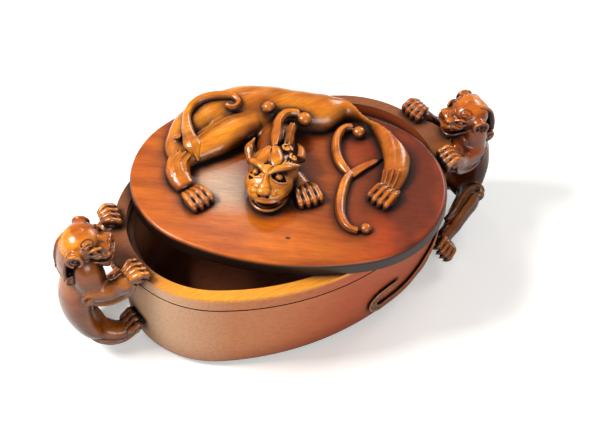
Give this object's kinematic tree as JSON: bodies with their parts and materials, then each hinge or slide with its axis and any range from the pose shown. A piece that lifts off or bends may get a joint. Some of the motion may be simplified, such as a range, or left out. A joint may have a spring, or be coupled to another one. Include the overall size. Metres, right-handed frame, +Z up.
{
  "type": "carved wooden box",
  "caption": "Oval carved wooden box with beast-shaped handles and a loose lid carved with a crouching beast, resting askew on the rim.",
  "frame": {"origin": "on the floor under the middle of the bowl, which is the bottom centre of the whole box's extent", "axes": "+X along the bowl's long axis towards the right-hand handle, +Y away from the viewer, +Z up"},
  "size_m": [0.2086, 0.1162, 0.0743],
  "materials": {
    "bowl_wood": "satin, worn grey-brown on the outer wall",
    "lid_wood": "polished and waxed",
    "beast_wood": "polished on the high parts, dark in the cuts"
  },
  "bodies": {
    "bowl": {"bowl": "bowl_wood", "left_beast_trunk": "beast_wood", "left_beast_head": "beast_wood", "left_beast_mane": "beast_wood", "left_beast_near_foreleg": "beast_wood", "left_beast_far_foreleg": "beast_wood", "left_beast_near_hind_leg": "beast_wood", "left_beast_far_hind_leg": "beast_wood", "left_beast_tail": "beast_wood", "right_beast_trunk": "beast_wood", "right_beast_head": "beast_wood", "right_beast_mane": "beast_wood", "right_beast_near_foreleg": "beast_wood", "right_beast_far_foreleg": "beast_wood", "right_beast_near_hind_leg": "beast_wood", "right_beast_far_hind_leg": "beast_wood", "right_beast_tail": "beast_wood"},
    "lid": {"lid": "lid_wood", "lid_beast_torso": "beast_wood", "lid_beast_head": "beast_wood", "lid_beast_mane": "beast_wood", "lid_beast_left_foreleg": "beast_wood", "lid_beast_right_foreleg": "beast_wood", "lid_beast_hind_leg": "beast_wood", "lid_beast_tail": "beast_wood", "lid_beast_flame_lock": "beast_wood", "lid_beast_bead": "beast_wood"}
  },
  "joints": [
    {"name": "lid_lift", "type": "slide", "parent": "bowl", "child": "lid", "axis": [0, 0, 1], "range_m": [0, 0.08]}
  ]
}
